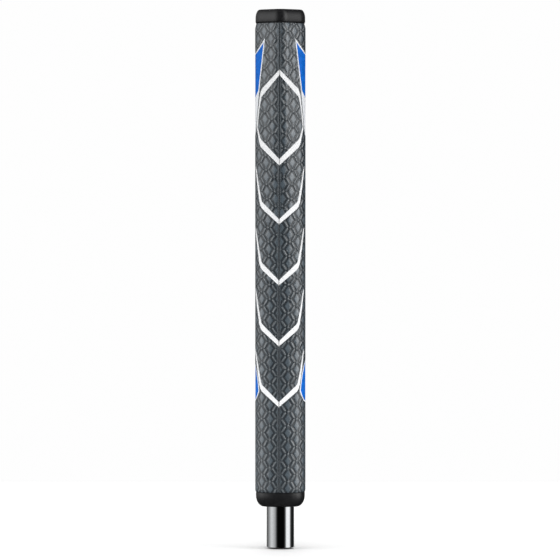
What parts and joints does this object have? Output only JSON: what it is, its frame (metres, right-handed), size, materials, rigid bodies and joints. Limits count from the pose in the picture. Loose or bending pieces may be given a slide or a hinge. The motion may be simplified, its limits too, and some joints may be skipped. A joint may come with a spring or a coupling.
{
  "type": "putter grip on shaft end",
  "caption": "Wrapped putter grip with a foam core, rubber end caps and painted chevrons, fitted to a short length of chromed steel shaft tube.",
  "frame": {"origin": "centre of the shaft's cut end, on the shaft's axis", "axes": "+Z along the shaft towards the butt, -Y out of the seamed back, +Y out of the flat front, +X to the right as the back is seen"},
  "size_m": [0.0274, 0.0311, 0.2887],
  "materials": {
    "chromed_steel": "polished chrome plate",
    "tape_paper": "dull double-sided tape",
    "eva_foam": "fine closed-cell foam",
    "felt": "unwoven backing felt",
    "grey_polyurethane": "satin embossed synthetic leather",
    "seam_glue": "satin seam filler",
    "black_rubber": "satin moulded rubber",
    "white_paint": "satin flexible paint",
    "pale_paint": "satin flexible paint",
    "blue_paint": "satin flexible paint"
  },
  "bodies": {
    "root": {"shaft_tube": "chromed_steel", "grip_tape": "tape_paper", "foam_core": "eva_foam", "felt_backing": "felt", "polyurethane_skin": "grey_polyurethane", "seam_bead": "seam_glue", "butt_cap": "black_rubber", "mouth_cap": "black_rubber", "peak_stripe": "white_paint", "chevron_1": "white_paint", "chevron_2": "white_paint", "chevron_3": "white_paint", "chevron_4": "white_paint", "chevron_5": "white_paint", "upper_panel_base_left": "pale_paint", "upper_panel_base_right": "pale_paint", "upper_panel_blue_left": "blue_paint", "upper_panel_blue_right": "blue_paint", "lower_panel_base_left": "pale_paint", "lower_panel_base_right": "pale_paint", "lower_panel_blue_left": "blue_paint", "lower_panel_blue_right": "blue_paint"}
  },
  "joints": []
}
